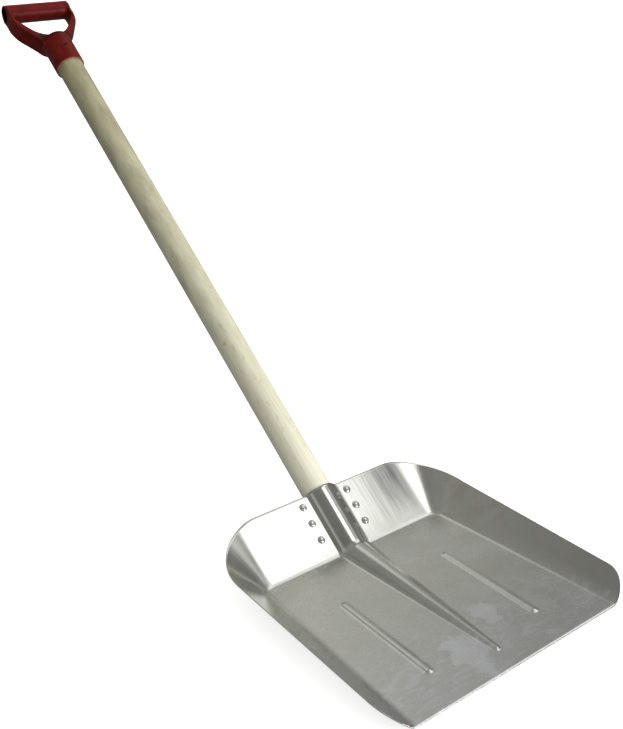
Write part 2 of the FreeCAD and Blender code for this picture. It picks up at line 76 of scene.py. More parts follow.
# Shaft and socket plate
SHAFT_RADIUS, SHAFT_DROP, SHAFT_START, SHAFT_END = 20.0, 9.3, 8.0, 925.0
GROUND_CLEARANCE = 2.0
SHAFT_STEPS, FOOT_RINGS, SIDE_RINGS = 144, 18, 60
FIRST_FOOT_RING, FIRST_SIDE_RING = 0.05, 0.002
FOOT_CHAMFER, END_CHAMFER = 0.6, 2.0
PLATE_HALF, PLATE_START, PLATE_END, PLATE_FOOT, PLATE_CORNER = 45.0, 14.0, 85.0, 4.0, 7.0
PLATE_ROWS, FLANGE_STEPS = 40, 11

# Rivets: a head and a tail are each a radius and a rise
RIVET_SIDE, RIVET_FIRST, RIVET_PITCH = 34.8, 28.1, 23.5
RIVET_HEAD, RIVET_TAIL, RIVET_SHANK = (5.2, 2.7), (4.4, 1.8), 2.5

# Grip
MOUTH, TOP, SOCKET_RADIUS, SOCKET_BORE = 870.0, 929.5, 23.0, 20.2
BAR_AT, BAR_RADIUS, BAR_BORE, BAR_HALF, BAR_BEHIND = 1005.5, 14.2, 11.2, 52.6, 6.0
ARM_THICKNESS, SHOULDER_AT, SHOULDER_RADIUS, ARM_LEAN, ROOT_RADIUS = 5.1, 985.0, 55.0, 35.0, 30.0
PALM_BOTTOM, PALM_RADIUS, PALM_LEAN, PALM_CORNER = 939.5, 37.8, 33.0, 18.0
GRIP_SCREW_AT, SCREW_RECESS_RADIUS, SCREW_SEAT = 900.0, 3.0, 21.3
SHAFT_GAP = 0.2
BAND_ROUND, BAR_ROUND, SOCKET_ROUND = 2.4, 1.3, 1.6
SOCKET_BLEND, BAR_BLEND, HOLLOW_BLEND = 1.2, 3.0, 0.8
CELL, QUICK_CELL = 1.0, 1.5
SETTLING_STEPS, LEAST_SLOPE = 6, 0.5

# How far apart a surface is sampled to measure its slope
PROBE = 0.05

COS, SIN, TAN = math.cos(SLOPE), math.sin(SLOPE), math.tan(SLOPE)
RIB_CROWN = CROWN_RADIUS / (CROWN_RADIUS + FOOT_RADIUS)


# ---------------------------------------------------------------- mesh helpers


def make_object(name, points, faces, material, replaced, place=Matrix()):
    """A smooth mesh from millimetre points, moved to its place, that rides on the shovel's one body."""
    mesh = bpy.data.meshes.new(name)
    mesh.from_pydata((np.asarray(points) * MM).tolist(), [], [list(map(int, f)) for f in faces])
    mesh.transform(place)
    mesh.validate()
    mesh.shade_smooth()
    mesh.materials.append(material)
    piece = bpy.data.objects.new(name, mesh)
    bpy.context.scene.collection.objects.link(piece)
    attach(piece, "root")
    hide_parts(*replaced)


def spaced(*bands):
    """Positions that run through bands of (start, end, step), each with its own step."""
    parts = [np.linspace(a, b, round((b - a) / step) + 1)[:-1] for a, b, step in bands]
    return np.concatenate(parts + [[bands[-1][1]]])


def rim(grid):
    """The grid's edge as one loop, counterclockwise seen from its front."""
    return np.concatenate([grid[:-1, 0], grid[-1, :-1], grid[:0:-1, -1], grid[0, :0:-1]])


def closed_sheet(top, bottom, loops):
    """Points and faces of a sheet: two grids of points joined round their rims through loops of points."""
    n, m = top.shape[:2]
    index = np.arange(n * m).reshape(n, m)
    quads = np.stack([index[:-1, :-1], index[1:, :-1], index[1:, 1:], index[:-1, 1:]], -1).reshape(-1, 4)
    count = len(rim(index))
    chain = [rim(index)] + [2 * n * m + k * count + np.arange(count) for k in range(len(loops))]
    chain.append(rim(index) + n * m)
    pairs = zip(chain, chain[1:])
    strips = [np.stack([low, np.roll(low, -1), np.roll(high, -1), high], -1) for high, low in pairs]
    points = np.concatenate([top.reshape(-1, 3), bottom.reshape(-1, 3)] + list(loops))
    return points, np.concatenate([quads, quads[:, ::-1] + n * m] + strips)


def lathe(profile, steps=64):
    """Turns (radius, height) points about the vertical; the first and last are on the axis."""
    angles = np.linspace(0, 2 * math.pi, steps, endpoint=False)
    rings = [[(r * math.cos(a), r * math.sin(a), z) for a in angles] for r, z in profile[1:-1]]
    points = [(0, 0, profile[0][1]), (0, 0, profile[-1][1])] + [p for ring in rings for p in ring]
    index = 2 + np.arange(len(rings) * steps).reshape(len(rings), steps)
    after = np.roll(index, -1, axis=1)
    faces = np.stack([index[:-1], index[1:], after[1:], after[:-1]], -1).reshape(-1, 4).tolist()
    faces += [(0, a, b) for a, b in zip(index[0], after[0])]
    faces += [(b, a, 1) for a, b in zip(index[-1], after[-1])]
    return points, faces


# ---------------------------------------------------------------- blade shape


def bell(across, half, height, crown_share):
    """Height of a rounded ridge at a distance from its middle: a crown arc, then a foot arc."""
    reach = (half**2 + height**2) / (2 * height)
    crown = reach * crown_share
    foot = reach - crown
    turn = crown * np.sin(2 * np.arctan(height / half))
    across = np.abs(across)
    on_crown = height - crown + np.sqrt(np.maximum(crown**2 - across**2, 0))
    on_foot = foot - np.sqrt(np.maximum(foot**2 - np.maximum(half - across, 0) ** 2, 0))
    return np.where(across < turn, on_crown, np.where(across < half, on_foot, 0.0))


def socket_half_width():
    """Half the width of the rib where it meets the socket, across both its foot arcs."""
    reach = CROWN_RADIUS + FOOT_RADIUS
    return math.sqrt(reach**2 - (reach - RIB_HEIGHT) ** 2)


def fold(distance):
    """Height at a distance outward from a crease: flat, a bend, then the slope."""
    setback = BEND_RADIUS * math.tan(SLOPE / 2)
    inside = np.clip(distance + setback, 0, BEND_RADIUS * SIN)
    on_bend = BEND_RADIUS - np.sqrt(BEND_RADIUS**2 - inside**2)
    return np.where(distance > setback * COS, distance * TAN, on_bend)


def past_crease(x, y):
    """Distance outward from the crease that runs round the back and both sides of the floor."""
    taper = (CREASE_FRONT_HALF - CREASE_REAR_HALF) / CREASE_DEPTH
    side = (np.abs(x) + taper * y - CREASE_FRONT_HALF) / math.hypot(1, taper) + CREASE_CORNER
    back = y - CREASE_DEPTH + CREASE_CORNER
    outside = np.hypot(np.maximum(side, 0), np.maximum(back, 0))
    return outside + np.minimum(np.maximum(side, back), 0) - CREASE_CORNER


def pressing_shift(y):
    """How far sideways the rib and beads lie at a depth, because they are pressed slightly askew."""
    return -PRESSING_SKEW * (CREASE_DEPTH - y) / (CREASE_DEPTH - RIB_TIP_DEPTH)


def floor_ridges(x, y):
    """Height of the centre rib and the two beads above the floor."""
    along = np.clip((y - RIB_TIP_DEPTH) / (CREASE_DEPTH - RIB_TIP_DEPTH), 0, RIB_GROWTH_LIMIT)
    half = RIB_TIP_HALF + (socket_half_width() - RIB_TIP_HALF) * along
    height = RIB_TIP_HEIGHT + (RIB_HEIGHT - RIB_TIP_HEIGHT) * along
    middle = pressing_shift(np.maximum(y, RIB_TIP_DEPTH))
    ridge = bell(np.hypot(x - middle, np.maximum(RIB_TIP_DEPTH - y, 0)), half, height, RIB_CROWN)
    for side in (-1, 1):
        beyond = np.maximum(BEAD_FRONT - y, 0) + np.maximum(y - BEAD_REAR, 0)
        middle = side * BEAD_SIDE + pressing_shift(np.clip(y, BEAD_FRONT, BEAD_REAR))
        ridge = ridge + bell(np.hypot(x - middle, beyond), BEAD_HALF, BEAD_HEIGHT, BEAD_CROWN)
    return ridge


def socket_rise(x):
    """Height of the half-round socket above the back wall."""
    return bell(x, socket_half_width(), RIB_HEIGHT, RIB_CROWN)


def blade_height(x, y):
    """Height of the blade's upper face."""
    floor = floor_ridges(x, y)
    wall = TAN * past_crease(x, y) + socket_rise(x) / COS
    return THICKNESS + floor + fold((wall - floor) / TAN)


def plan_grid(inset):
    """Plan positions of the blade's grid lines, whose edge is the blade's outline moved in by inset."""
    round_start = HALF_WIDTH - FRONT_CORNER
    turn = np.linspace(0, math.pi / 2, FRONT_CORNER_STEPS + 1)[1:]
    right = np.concatenate([spaced(*COLUMNS), round_start + (FRONT_CORNER - inset) * np.sin(turn)])
    x = np.concatenate([-right[:0:-1], right])
    rear_start = HALF_WIDTH - REAR_CORNER
    into_front = np.maximum(np.abs(x) - round_start, 0)
    into_rear = np.maximum(np.abs(x) - rear_start, 0)
    front = FRONT_CORNER - np.sqrt(np.maximum((FRONT_CORNER - inset) ** 2 - into_front**2, 0))
    rear = DEPTH - REAR_CORNER + np.sqrt(np.maximum((REAR_CORNER - inset) ** 2 - into_rear**2, 0))
    socket_rim = CREASE_DEPTH + (SOCKET_TOP - inset) * COS - socket_rise(x) * SIN
    rear = np.minimum(rear, np.where(np.abs(x) < socket_half_width(), socket_rim, DEPTH))
    share = spaced(*ROWS) / DEPTH
    y = front[:, None] + share * (rear - front)[:, None]
    return np.broadcast_to(x[:, None], y.shape), y


def upright_thickness(x, y):
    """The sheet's thickness measured straight down, which grows where the face is steep."""
    slope_x = (blade_height(x + PROBE, y) - blade_height(x - PROBE, y)) / (2 * PROBE)
    slope_y = (blade_height(x, y + PROBE) - blade_height(x, y - PROBE)) / (2 * PROBE)
    return THICKNESS * np.sqrt(1 + slope_x**2 + slope_y**2)


def make_blade(material):
    x, y = plan_grid(EDGE)
    z, thick = blade_height(x, y), upright_thickness(x, y)
    top = np.stack([x, y, z], -1)
    bottom = np.stack([x, y, z - thick], -1)
    edge_x, edge_y = (rim(a) for a in plan_grid(0.0))
    edge_z, edge_thick = blade_height(edge_x, edge_y), upright_thickness(edge_x, edge_y)
    loops = [np.stack([edge_x, edge_y, edge_z - share * edge_thick], -1) for share in EDGE_RINGS]
    points, faces = closed_sheet(top, bottom, loops)
    make_object("blade_sheet", points, faces, material, ["blade"])


# ---------------------------------------------------------------- shaft, socket plate, rivets


def wall_point(x, along, out):
    """A point by its place along the back wall from the crease and its height off the wall's upper face."""
    return Vector((x, CREASE_DEPTH + along * COS - out * SIN, THICKNESS + along * SIN + out * COS))


def wall_matrix(x, along, out):
    """Local Z stands off the back wall."""
    return Matrix.Translation(wall_point(x, along, out) * MM) @ Matrix.Rotation(SLOPE, 4, "X")


def shaft_matrix():
    """Local Z runs up the shaft's axis and local Y points behind it."""
    base = wall_point(0, 0, -SHAFT_DROP) * MM
    return Matrix.Translation(base) @ Matrix.Rotation(SLOPE - math.pi / 2, 4, "X")


def level(behind):
    """How far up the shaft's axis a point behind it is level with the cut above the ground."""
    return (GROUND_CLEARANCE - wall_point(0, 0, -SHAFT_DROP).z + behind * COS) / SIN


def make_shaft(material):
    """A round stick of rings of points: across its foot, up its side, and in to its other end."""
    steps = SHAFT_STEPS
    angles = np.linspace(0, 2 * math.pi, steps, endpoint=False)
    across, behind = np.sin(angles), np.cos(angles)
    foot_reaches = SHAFT_RADIUS * np.linspace(FIRST_FOOT_RING, 1 - FOOT_CHAMFER / SHAFT_RADIUS, FOOT_RINGS)
    rings = [(reach, np.maximum(SHAFT_START, level(behind * reach))) for reach in foot_reaches]
    foot = np.maximum(SHAFT_START, level(behind * SHAFT_RADIUS))
    for share in np.concatenate([[0.0], np.linspace(FIRST_SIDE_RING, 1, SIDE_RINGS)]):
        rings.append((SHAFT_RADIUS, foot + FOOT_CHAMFER + share * (SHAFT_END - END_CHAMFER - foot)))
    rings.append((SHAFT_RADIUS - END_CHAMFER, np.full(steps, SHAFT_END)))
    points = [np.stack([reach * across, reach * behind, height], -1) for reach, height in rings]
    points = np.concatenate(points + [[[0, 0, max(SHAFT_START, level(0))], [0, 0, SHAFT_END]]])
    index = np.arange(len(rings) * steps).reshape(len(rings), steps)
    after = np.roll(index, -1, axis=1)
    faces = np.stack([index[:-1], index[1:], after[1:], after[:-1]], -1).reshape(-1, 4).tolist()
    low, high = len(points) - 2, len(points) - 1
    faces += [(low, a, b) for a, b in zip(index[0], after[0])]
    faces += [(high, b, a) for a, b in zip(index[-1], after[-1])]
    make_object("shaft_wood", points, faces, material, ["shaft"], shaft_matrix())


def arc_points(centre, radius, start, end, count):
    """Points along an arc between two angles in degrees."""
    angles = np.radians(np.linspace(start, end, count))
    return np.stack([centre[0] + radius * np.cos(angles), centre[1] + radius * np.sin(angles)], -1)


def plate_section(inset):
    """One face of the plate's section from left to right; inset is 0 outside and the thickness inside."""
    wall_back = THICKNESS - SHAFT_DROP
    base = wall_back + THICKNESS
    foot_centre = base + PLATE_FOOT
    reach = CROWN_RADIUS + PLATE_FOOT
    half = math.sqrt(reach**2 - foot_centre**2)
    turn = math.degrees(math.atan2(half, foot_centre))
    flat = base - inset
    left_foot = arc_points((-half, foot_centre), PLATE_FOOT + inset, 270, 270 + turn, count=9)
    crown = arc_points((0, 0), CROWN_RADIUS - inset, 90 + turn, 90 - turn, count=61)
    right_foot = arc_points((half, foot_centre), PLATE_FOOT + inset, 270 - turn, 270, count=9)
    flange = np.linspace(half, PLATE_HALF, FLANGE_STEPS + 1)[1:]
    left = np.stack([-flange[::-1], np.full_like(flange, flat)], -1)
    right = np.stack([flange, np.full_like(flange, flat)], -1)
    return np.concatenate([left, left_foot, crown[1:-1], right_foot, right])


def make_socket_plate(material):
    outer, inner = plate_section(0.0), plate_section(THICKNESS)
    into = np.maximum(np.abs(outer[:, 0]) - (PLATE_HALF - PLATE_CORNER), 0)
    into = np.where(outer[:, 1] < 0, into, 0)
    corner = PLATE_CORNER - np.sqrt(np.maximum(PLATE_CORNER**2 - into**2, 0))
    share = np.linspace(0, 1, PLATE_ROWS)
    grids = []
    for face in (outer, inner):
        low = np.maximum(PLATE_START + corner, level(face[:, 1]))
        height = low[:, None] + share * (PLATE_END - corner - low)[:, None]
        grids.append(np.concatenate([np.repeat(face[:, None], PLATE_ROWS, axis=1), height[..., None]], -1))
    points, faces = closed_sheet(grids[1], grids[0], [])
    node = "rear_socket_plate"
    make_object("rear_plate", points, faces, material, [node], shaft_matrix())


def cap_profile(radius, rise, count=10):
    """(radius, height) points of a domed cap, from its top to its rim."""
    sphere = (radius**2 + rise**2) / (2 * rise)
    angles = np.linspace(0, math.asin(radius / sphere), count)
    return [(sphere * math.sin(a), rise - sphere + sphere * math.cos(a)) for a in angles]


def make_rivet(name, node, across, along, material):
    """A rivet through the back wall and the plate, with a domed head in front and a smaller dome behind."""
    head = cap_profile(*RIVET_HEAD)
    tail = [(r, -2 * THICKNESS - z) for r, z in cap_profile(*RIVET_TAIL)]
    middle = [(RIVET_SHANK, 0.0), (RIVET_SHANK, -2 * THICKNESS)]
    points, faces = lathe(head + middle + tail[::-1])
    make_object(name, points, faces, material, [node], wall_matrix(across, along, 0))


# ---------------------------------------------------------------- grip shape


def arm_outline():
    """The D's outer edge, right side, from the bar down to the socket."""
    lean = math.radians(ARM_LEAN)
    centre = (BAR_HALF - SHOULDER_RADIUS, SHOULDER_AT)
    shoulder = arc_points(centre, SHOULDER_RADIUS, 0, -ARM_LEAN, count=14)
    start_x = SOCKET_RADIUS + ROOT_RADIUS * (1 - math.cos(lean))
    start_y = shoulder[-1, 1] - (shoulder[-1, 0] - start_x) / math.tan(lean)
    root_centre = (SOCKET_RADIUS + ROOT_RADIUS, start_y - ROOT_RADIUS * math.sin(lean))
    root = arc_points(root_centre, ROOT_RADIUS, 180 - ARM_LEAN, 180, count=8)
    return np.concatenate([[(BAR_HALF, BAR_AT)], shoulder, root])


def palm_outline():
    """The opening's edge, right side, from the bar down to the middle of the palm."""
    lean = math.radians(PALM_LEAN)
    inner = BAR_HALF - ARM_THICKNESS
    palm_centre = (0.0, PALM_BOTTOM + PALM_RADIUS)
    palm = arc_points(palm_centre, PALM_RADIUS, -PALM_LEAN, -90, count=14)
    end_x = inner - PALM_CORNER * (1 - math.cos(lean))
    end_y = palm[0, 1] + (end_x - palm[0, 0]) / math.tan(lean)
    corner_centre = (inner - PALM_CORNER, end_y + PALM_CORNER * math.sin(lean))
    corner = arc_points(corner_centre, PALM_CORNER, 0, -PALM_LEAN, count=8)
    return np.concatenate([[(inner, BAR_AT + BAR_RADIUS)], corner, palm])


def both_sides(right):
    """A closed outline from its right side."""
    return np.concatenate([right, right[::-1] * (-1, 1)])


def outline_distance(points, outline):
    """Signed distance in the plane from points to a closed outline, negative inside."""
    best, crossings = np.full(len(points), np.inf), np.zeros(len(points), int)
    for a, b in zip(outline, np.roll(outline, -1, axis=0)):
        edge = b - a
        length2 = edge @ edge
        if length2 == 0:
            continue
        to = points - a
        nearest = np.clip(to @ edge / length2, 0, 1)
        best = np.minimum(best, np.sum((to - nearest[:, None] * edge) ** 2, axis=1))
        spans = (a[1] > points[:, 1]) != (b[1] > points[:, 1])
        if edge[1]:
            cross_x = a[0] + (points[:, 1] - a[1]) * edge[0] / edge[1]
            crossings += spans & (points[:, 0] < cross_x)
    return np.where(crossings % 2, -1, 1) * np.sqrt(best)


def rounded(side, end, radius):
    """Distance to a solid bounded by two distances, with its edges rounded."""
    a, b = side + radius, end + radius
    return np.minimum(np.maximum(a, b), 0) + np.hypot(np.maximum(a, 0), np.maximum(b, 0)) - radius


def blend_min(a, b, width):
    """The smaller of two distances, with a smooth change from one to the other."""
    share = np.clip(0.5 + 0.5 * (b - a) / width, 0, 1)
    return b * (1 - share) + a * share - width * share * (1 - share)


def grip_distance(points):
    """Signed distance to the grip, in the shaft's frame: x across, y behind, z along."""
    x, y, z = points.T
    plane = points[:, [0, 2]]
    outline = outline_distance(plane, both_sides(arm_outline()))
    opening = outline_distance(plane, both_sides(palm_outline()))
    behind = np.abs(y - BAR_BEHIND)
    axis = np.hypot(x, y)
    root_at = arm_outline()[-1, 1]
    flare = (axis - SOCKET_RADIUS - (z - root_at)) * math.sqrt(0.5)
    side = rounded(np.maximum(outline, -opening), flare, BAND_ROUND)
    band = rounded(side, behind - BAR_RADIUS, BAND_ROUND)
    bar_axis = np.hypot(y - BAR_BEHIND, z - BAR_AT)
    band = np.where(z > BAR_AT, np.maximum(band, bar_axis - BAR_RADIUS), band)
    bar = rounded(bar_axis - BAR_RADIUS, np.abs(x) - BAR_HALF, BAR_ROUND)
    middle = (MOUTH + TOP) / 2
    socket = rounded(axis - SOCKET_RADIUS, np.abs(z - middle) - (TOP - MOUTH) / 2, SOCKET_ROUND)
    body = blend_min(blend_min(band, socket, SOCKET_BLEND), bar, BAR_BLEND)
    shaft_bore = np.maximum(axis - SOCKET_BORE, z - (SHAFT_END + SHAFT_GAP))
    screw_axis = np.hypot(x, z - GRIP_SCREW_AT)
    recess = np.maximum(screw_axis - SCREW_RECESS_RADIUS, y + SCREW_SEAT)
    for hollow in (bar_axis - BAR_BORE, shaft_bore, recess):
        body = -blend_min(-body, hollow, HOLLOW_BLEND)
    return body


def skin(distance, low, high, step):
    """A quad mesh of the surface where a signed distance is zero, with one point in each cell it crosses."""
    axes = [np.arange(a - step, b + 2 * step, step) for a, b in zip(low, high)]
    grid = np.stack(np.meshgrid(*axes, indexing="ij"), -1)
    values = distance(grid.reshape(-1, 3)).reshape(grid.shape[:3])
    inside = values < 0
    ends = (slice(None, -1), slice(1, None))
    corners = np.stack([inside[ends[i], ends[j], ends[k]] for i, j, k in np.ndindex(2, 2, 2)])
    crossed = corners.any(axis=0) & ~corners.all(axis=0)
    number = np.full(crossed.shape, -1)
    number[crossed] = np.arange(crossed.sum())
    points = grid[:-1, :-1, :-1][crossed] + step / 2
    faces = []
    for axis in range(3):
        near, far = [slice(None)] * 3, [slice(None)] * 3
        near[axis], far[axis] = ends
        leaves = inside[tuple(near)]
        where = np.argwhere(leaves != inside[tuple(far)])
        u, v = [a for a in range(3) if a != axis]
        unit_u, unit_v = np.eye(3, dtype=int)[[u, v]]
        ring = [number[tuple((where - k).T)] for k in (0 * unit_u, unit_u, unit_u + unit_v, unit_v)]
        quads = np.stack(ring, -1)
        flip = leaves[tuple(where.T)] == (axis == 1)
        quads[flip] = quads[flip][:, ::-1]
        faces.append(quads)
    shifts = PROBE * np.eye(3)
    for _ in range(SETTLING_STEPS):
        slope = np.stack([distance(points + d) - distance(points - d) for d in shifts], -1) / (2 * PROBE)
        share = distance(points) / np.maximum(np.sum(slope**2, axis=1), LEAST_SLOPE**2)
        points = points - share[:, None] * slope
    return points, np.concatenate(faces)


def make_grip(material):
    low = (-BAR_HALF, -SOCKET_RADIUS, MOUTH)
    high = (BAR_HALF, SOCKET_RADIUS, BAR_AT + BAR_RADIUS)
    points, faces = skin(grip_distance, low, high, CELL)
    make_object("grip_d", points, faces, material, ["grip"], shaft_matrix())


# ---------------------------------------------------------------- materials

# Tones are linear red, green and blue
SHEET_DARK, SHEET_LIGHT, SHEET_SPECKS = (0.69, 0.695, 0.645), (0.765, 0.77, 0.735), (0.62, 0.62, 0.575)
FRONT_TONE, CURL_TONE, RUBBED_TONE = (0.77, 0.77, 0.785), (0.88, 0.90, 0.92), (0.93, 0.95, 1.0)
# The first of these tones is a painted dark reflection on the right wall, the last a painted dark reflection
# at the back wall's upper right end
SIDE_WALL_PAINTED_REFLECTION, REDDISH_PATCH_TONE, PAINTED_REFLECTION_TONE = (0.42, 0.42, 0.40), (0.62, 0.50, 0.44), (0.27, 0.27, 0.265)
PLATE_DARK, PLATE_LIGHT = (0.50, 0.51, 0.52), (0.64, 0.65, 0.65)
RIVET_DARK, RIVET_LIGHT = (0.82, 0.82, 0.81), (0.92, 0.92, 0.92)
ZINC_SCREW = (0.42, 0.42, 0.42), (0.58, 0.58, 0.57)
# Dark screw tones that stand in for the shade in the grip screw's recess
SCREW_SHADE_TONES = (0.03, 0.025, 0.022), (0.09, 0.075, 0.065)
# The last of these wood tones is painted shade towards the grip
WOOD_LIGHT, WOOD_DARK, WOOD_GRIP_END_SHADE = (0.665, 0.66, 0.535), (0.585, 0.57, 0.42), (0.255, 0.242, 0.14)
FIBRE_TONE, GROWTH_TONE, WOOD_GRIME = (0.38, 0.32, 0.19), (0.36, 0.30, 0.18), (0.15, 0.14, 0.085)
WOOD_STAIN, KNOT_TONE = (0.24, 0.205, 0.12), (0.19, 0.145, 0.075)
RED_DARK, RED_LIGHT, RED_GRIME = (0.062, 0.0030, 0.0020), (0.120, 0.0062, 0.0038), (0.030, 0.008, 0.006)
# These three tones are painted light: shade inside the bar's bore, shade in the crease by the socket, light
# at the mouth
BAR_BORE_PAINTED_SHADE, CREASE_PAINTED_SHADE, MOUTH_PAINTED_LIGHT = (0.006, 0.004, 0.004), (0.012, 0.003, 0.003), (0.60, 0.20, 0.16)

# The range that holds most of a noise's values
NOISE_RANGE = (0.3, 0.7)

# Where marks come in or fade out: two places in millimetres along one axis
ON_WALL, UPPER_FACE, OFF_FLOOR = (5.0, 16.0), (0.6, 1.0), (4.0, 9.0)
FRONT_WEAR, SIDE_WALL, SIDE_WALL_SHADE = (30.0, 130.0), (140.0, 160.0), (40.0, 240.0)
# Where the painted dark reflection at the back wall's upper right end comes in and fades out
PAINTED_REFLECTION_START, PAINTED_REFLECTION_END, PAINTED_REFLECTION_RISE = (55.0, 100.0), (116.0, 130.0), (10.0, 45.0)
# Where the painted shade and the grime come in up the shaft
GRIP_END_SHADE_AND_GRIME = (120.0, 860.0)
CREASE_START, CREASE_END = (TOP - 8.0, TOP - 2.0), (TOP + 9.0, TOP + 18.0)
AT_MOUTH = (MOUTH + 1.2, MOUTH + 3.2)

# The same, outward from the crossbar's or the socket's axis
INSIDE_BAR = (BAR_BORE + 0.2, BAR_BORE + 1.4)
BY_SOCKET = (SOCKET_RADIUS + 0.8, SOCKET_RADIUS + 6.0)
INSIDE_MOUTH = (SOCKET_BORE + 1.6, SOCKET_RADIUS - 0.1)

# Rubbed patches of the floor: centre and size across and along, in millimetres
RUBBED_PATCHES = ((27, 82), (15, 21)), ((-32, 46), (22, 33))

# How much noise is added to a patch's distance from its centre, and where the sum ends the patch, in sizes
RAGGED_SHARE, RAGGED_EDGE = 2.4, (2.05, 2.25)

# Brush marks up the walls: how many noise cells a metre holds round the walls and up them
BRUSH_ROUND, BRUSH_UP = 105.0, 9.0


class Shader:
    """A material's node tree, with one method for each kind of node that is used."""

    def __init__(self, name, frame_of_texture=Matrix()):
        self.material = bpy.data.materials.new(name)
        self.material.use_nodes = True
        self.tree = self.material.node_tree
        self.surface = self.tree.nodes["Principled BSDF"]
        self.place = self.tree.nodes.new("ShaderNodeTexCoord").outputs["Object"]
        inverse = frame_of_texture.inverted()
        self.place = self.stretched((1, 1, 1), inverse.to_euler(), inverse.translation)

    def link(self, source, target):
        """Joins a socket to a target socket, or sets the target to a plain value."""
        if isinstance(source, bpy.types.NodeSocket):
            self.tree.links.new(source, target)
        else:
            target.default_value = source

    def stretched(self, scale, turn=(0, 0, 0), shift=(0, 0, 0)):
        """The texture's place, scaled along each axis by how many cells of a noise a metre holds."""
        node = self.tree.nodes.new("ShaderNodeMapping")
        node.inputs["Scale"].default_value = scale
        node.inputs["Rotation"].default_value = turn
        node.inputs["Location"].default_value = shift
        self.link(self.place, node.inputs["Vector"])
        return node.outputs["Vector"]

    def noise(self, vector, scale=1.0, detail=4.0, roughness=0.55, distortion=0.0):
        node = self.tree.nodes.new("ShaderNodeTexNoise")
        self.link(vector, node.inputs["Vector"])
        names = ("Scale", "Detail", "Roughness", "Distortion")
        for name, value in zip(names, (scale, detail, roughness, distortion)):
            node.inputs[name].default_value = value
        return node.outputs["Fac"]

    def spots(self, vector):
        """Distance to the nearest of scattered points, one to a cell."""
        node = self.tree.nodes.new("ShaderNodeTexVoronoi")
        self.link(vector, node.inputs["Vector"])
        node.inputs["Scale"].default_value = 1.0
        return node.outputs["Distance"]

    def math(self, operation, a, b=0.0, c=0.0):
        node = self.tree.nodes.new("ShaderNodeMath")
        node.operation = operation
        for socket, value in zip(node.inputs, (a, b, c)):
            self.link(value, socket)
        return node.outputs["Value"]

    def product(self, first, *others):
        for value in others:
            first = self.math("MULTIPLY", first, value)
        return first

    def vector(self, x, y, z):
        node = self.tree.nodes.new("ShaderNodeCombineXYZ")
        for socket, value in zip(node.inputs, (x, y, z)):
            self.link(value, socket)
        return node.outputs["Vector"]

    def remap(self, value, bounds, results=(0, 1)):
        """A value between two bounds, moved to the same place between two results and held there."""
        node = self.tree.nodes.new("ShaderNodeMapRange")
        names = ("Value", "From Min", "From Max", "To Min", "To Max")
        for name, item in zip(names, (value, *bounds, *results)):
            self.link(item, node.inputs[name])
        return node.outputs["Result"]

    def fade(self, distance, places, results=(0, 1)):
        """A remapped distance in metres, with its bounds in millimetres."""
        return self.remap(distance, [place * MM for place in places], results)

    def mix(self, share, a, b):
        node = self.tree.nodes.new("ShaderNodeMix")
        node.data_type = "RGBA"
        sockets = [s for s in node.inputs if s.type == "RGBA"]
        self.link(share, node.inputs["Factor"])
        for socket, tone in zip(sockets, (a, b)):
            self.link(tone if isinstance(tone, bpy.types.NodeSocket) else (*tone, 1), socket)
        return next(s for s in node.outputs if s.type == "RGBA")

    def axis(self, name):
        node = self.tree.nodes.new("ShaderNodeSeparateXYZ")
        self.link(self.place, node.inputs["Vector"])
        return node.outputs[name]

    def bump(self, height, distance, strength, under=None):
        node = self.tree.nodes.new("ShaderNodeBump")
        self.link(height, node.inputs["Height"])
        node.inputs["Distance"].default_value = distance
        node.inputs["Strength"].default_value = strength
        if under is not None:
            self.link(under, node.inputs["Normal"])
        return node.outputs["Normal"]

    def finish(self, colour, roughness, normal=None, **plain):
        """Joins up the surface; plain gives more of its inputs by name, with _ for each space."""
        self.link(colour, self.surface.inputs["Base Color"])
        self.link(roughness, self.surface.inputs["Roughness"])
        if normal is not None:
            self.link(normal, self.surface.inputs["Normal"])
        for name, value in plain.items():
            self.surface.inputs[name.replace("_", " ")].default_value = value
        return self.material


def round_the_walls(s):
    """A vector whose x runs along the crease round the back and sides, so streaks run up the walls."""
    centre_x, centre_y = (CREASE_REAR_HALF - CREASE_CORNER) * MM, (CREASE_DEPTH - CREASE_CORNER) * MM
    x, y, z = s.axis("X"), s.axis("Y"), s.axis("Z")
    across = s.math("ABSOLUTE", x)
    past_side = s.math("MAXIMUM", s.math("SUBTRACT", across, centre_x), 0.0)
    past_back = s.math("MAXIMUM", s.math("SUBTRACT", y, centre_y), 0.0)
    turn = s.math("ARCTAN2", past_side, past_back)
    along_back = s.math("MINIMUM", across, centre_x)
    along_side = s.math("MAXIMUM", s.math("SUBTRACT", centre_y, y), 0.0)
    along = s.math("MULTIPLY_ADD", turn, REAR_CORNER * MM, s.math("ADD", along_back, along_side))
    return s.vector(s.product(along, BRUSH_ROUND), s.product(z, BRUSH_UP), s.math("SIGN", x))


def patch(s, centre, size, edge_noise):
    """1 inside a ragged patch of the floor about a centre in millimetres, 0 outside."""
    scale = tuple(1 / (MM * length) for length in size)
    shift = tuple(-place / length for place, length in zip(centre, size))
    node = s.tree.nodes.new("ShaderNodeVectorMath")
    node.operation = "LENGTH"
    s.link(s.stretched((*scale, 0.0), (0, 0, 0), (*shift, 0.0)), node.inputs[0])
    reach = s.math("MULTIPLY_ADD", edge_noise, RAGGED_SHARE, node.outputs["Value"])
    return s.remap(reach, RAGGED_EDGE, (1, 0))


def painted_reflection_corner(s, streaks):
    """Share of a painted dark reflection, streaked like brush marks, near the back wall's upper right end,
    before the corner turns.
    """
    start, end = s.fade(s.axis("X"), PAINTED_REFLECTION_START), s.fade(s.axis("X"), PAINTED_REFLECTION_END, (1, 0))
    rise = s.fade(s.axis("Z"), PAINTED_REFLECTION_RISE)
    return s.product(start, end, rise, s.remap(streaks, (0.3, 0.6), (0.45, 1.0)))


